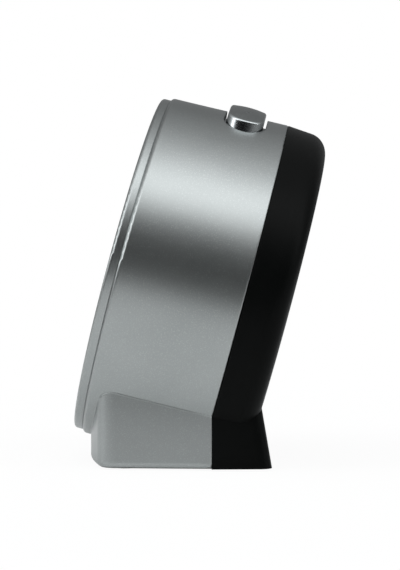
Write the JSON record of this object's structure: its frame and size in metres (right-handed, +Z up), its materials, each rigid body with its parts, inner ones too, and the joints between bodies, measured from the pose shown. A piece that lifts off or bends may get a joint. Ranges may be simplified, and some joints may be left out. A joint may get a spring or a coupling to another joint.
{
  "type": "alarm clock",
  "caption": "Bedside quartz alarm clock: a silver drum that leans back on its own foot, black rear cover, wide snooze bar on top.",
  "frame": {"origin": "centre of the bounding box in plan, on the table under the rubber pads", "axes": "+Z up, -Y the way the dial faces, +X to the right as the dial is read"},
  "size_m": [0.108, 0.0763, 0.11],
  "materials": {
    "satin_silver": "satin metallic paint",
    "bar_metal": "polished sides, satin top",
    "black_shell": "fine satin",
    "clear_lens": "clear",
    "dial_white": "matt print",
    "ring_black": "matt",
    "hand_black": "satin",
    "hand_red": "satin",
    "knob_black": "satin",
    "rubber_pad": "matt",
    "steel": "plain",
    "spring_steel": "nickel plated",
    "inner_plastic": "natural",
    "gear_plastic": "acetal",
    "gear_brass": "plain",
    "board_green": "solder mask",
    "copper": "enamelled wire",
    "magnet": "ground",
    "cell_jacket": "gloss label",
    "switch_black": "plain",
    "lead_red": "insulated wire",
    "lead_black": "insulated wire"
  },
  "bodies": {
    "case": {"front_case": "satin_silver", "bezel_ring": "satin_silver", "rear_cover": "black_shell", "rubber_pads": "rubber_pad", "case_screws": "steel", "lens": "clear_lens", "dial_ring": "ring_black", "dial": "dial_white", "snooze_springs": "spring_steel", "snooze_bracket": "inner_plastic", "bracket_screws": "steel", "snooze_board": "board_green", "snooze_switch": "switch_black", "movement_front": "inner_plastic", "movement_plate": "inner_plastic", "movement_rear": "switch_black", "movement_screws": "steel", "stator": "steel", "coil_core": "steel", "coil": "copper", "movement_board": "board_green", "quartz_crystal": "steel", "battery_cells": "cell_jacket", "contact_plates": "spring_steel", "contact_springs": "spring_steel", "lead_red": "lead_red", "lead_black": "lead_black", "alarm_switch": "switch_black", "sounder": "gear_brass"},
    "snooze": {"snooze_bar": "bar_metal"},
    "seconds": {"second_wheel": "gear_plastic", "second_hand": "hand_red"},
    "rotor": {"rotor": "magnet"},
    "intermediate": {"intermediate_wheel": "gear_plastic"},
    "third": {"third_wheel": "gear_plastic"},
    "centre": {"centre_wheel": "gear_plastic"},
    "minutes": {"cannon_pinion": "gear_brass", "minute_hand": "hand_black"},
    "motion": {"motion_wheel": "gear_plastic"},
    "hours": {"hour_wheel": "gear_plastic", "hour_hand": "hand_black"},
    "alarm": {"alarm_wheel": "gear_plastic", "alarm_hand": "hand_red"},
    "time_setter": {"time_arbor": "gear_plastic", "time_knob": "knob_black"},
    "alarm_setter": {"alarm_arbor": "gear_plastic", "alarm_knob": "knob_black"},
    "switch": {"alarm_slider": "knob_black"},
    "door": {"battery_door": "black_shell"}
  },
  "joints": [
    {"name": "second_turn", "type": "hinge", "parent": "case", "child": "seconds", "pos_m": [0, -0.00077, 0.0533], "axis": [0, 0.9659, -0.2588], "continuous": true},
    {"name": "rotor_turn", "type": "hinge", "parent": "case", "child": "rotor", "pos_m": [0.01439, -0.00389, 0.04165], "axis": [0, 0.9659, -0.2588], "continuous": true},
    {"name": "intermediate_turn", "type": "hinge", "parent": "case", "child": "intermediate", "pos_m": [0.00612, -0.00351, 0.04306], "axis": [0, 0.9659, -0.2588], "continuous": true},
    {"name": "third_turn", "type": "hinge", "parent": "case", "child": "third", "pos_m": [-0.0115, -0.00185, 0.04926], "axis": [0, 0.9659, -0.2588], "continuous": true},
    {"name": "centre_turn", "type": "hinge", "parent": "case", "child": "centre", "pos_m": [0, -0.00077, 0.0533], "axis": [0, 0.9659, -0.2588], "continuous": true},
    {"name": "time_set", "type": "hinge", "parent": "case", "child": "time_setter", "pos_m": [-0.01358, 0.00274, 0.06641], "axis": [0, 0.9659, -0.2588], "continuous": true},
    {"name": "minute_turn", "type": "hinge", "parent": "case", "child": "minutes", "pos_m": [0, -0.00077, 0.0533], "axis": [0, 0.9659, -0.2588], "continuous": true},
    {"name": "motion_turn", "type": "hinge", "parent": "case", "child": "motion", "pos_m": [-0.00679, 0.00099, 0.05986], "axis": [0, 0.9659, -0.2588], "continuous": true},
    {"name": "hour_turn", "type": "hinge", "parent": "case", "child": "hours", "pos_m": [0, -0.00077, 0.0533], "axis": [0, 0.9659, -0.2588], "continuous": true},
    {"name": "alarm_set", "type": "hinge", "parent": "case", "child": "alarm_setter", "pos_m": [0.01358, 0.00274, 0.06641], "axis": [0, 0.9659, -0.2588], "continuous": true},
    {"name": "alarm_turn", "type": "hinge", "parent": "case", "child": "alarm", "pos_m": [0, -0.00077, 0.0533], "axis": [0, 0.9659, -0.2588], "continuous": true},
    {"name": "snooze_press", "type": "slide", "parent": "case", "child": "snooze", "axis": [0, -0.2588, -0.9659], "range_m": [0, 0.0015], "stiffness_N_per_m": 800, "springref_m": -0.002, "deforming": ["snooze_springs"]},
    {"name": "alarm_switch_slide", "type": "slide", "parent": "case", "child": "switch", "axis": [0, 0.2588, 0.9659], "range_m": [0, 0.003]},
    {"name": "battery_door_lift", "type": "slide", "parent": "case", "child": "door", "axis": [0, 0.9659, -0.2588], "range_m": [0, 0.03]}
  ],
  "couplings": [
    {"joint": "intermediate_turn", "follows": "second_turn", "ratio": -5},
    {"joint": "rotor_turn", "follows": "second_turn", "ratio": 30},
    {"joint": "third_turn", "follows": "second_turn", "ratio": -0.125},
    {"joint": "centre_turn", "follows": "second_turn", "ratio": 0.016667},
    {"joint": "motion_turn", "follows": "time_set", "ratio": -0.33333},
    {"joint": "minute_turn", "follows": "time_set", "ratio": 1},
    {"joint": "hour_turn", "follows": "time_set", "ratio": 0.083333},
    {"joint": "alarm_turn", "follows": "alarm_set", "ratio": -0.33333}
  ]
}
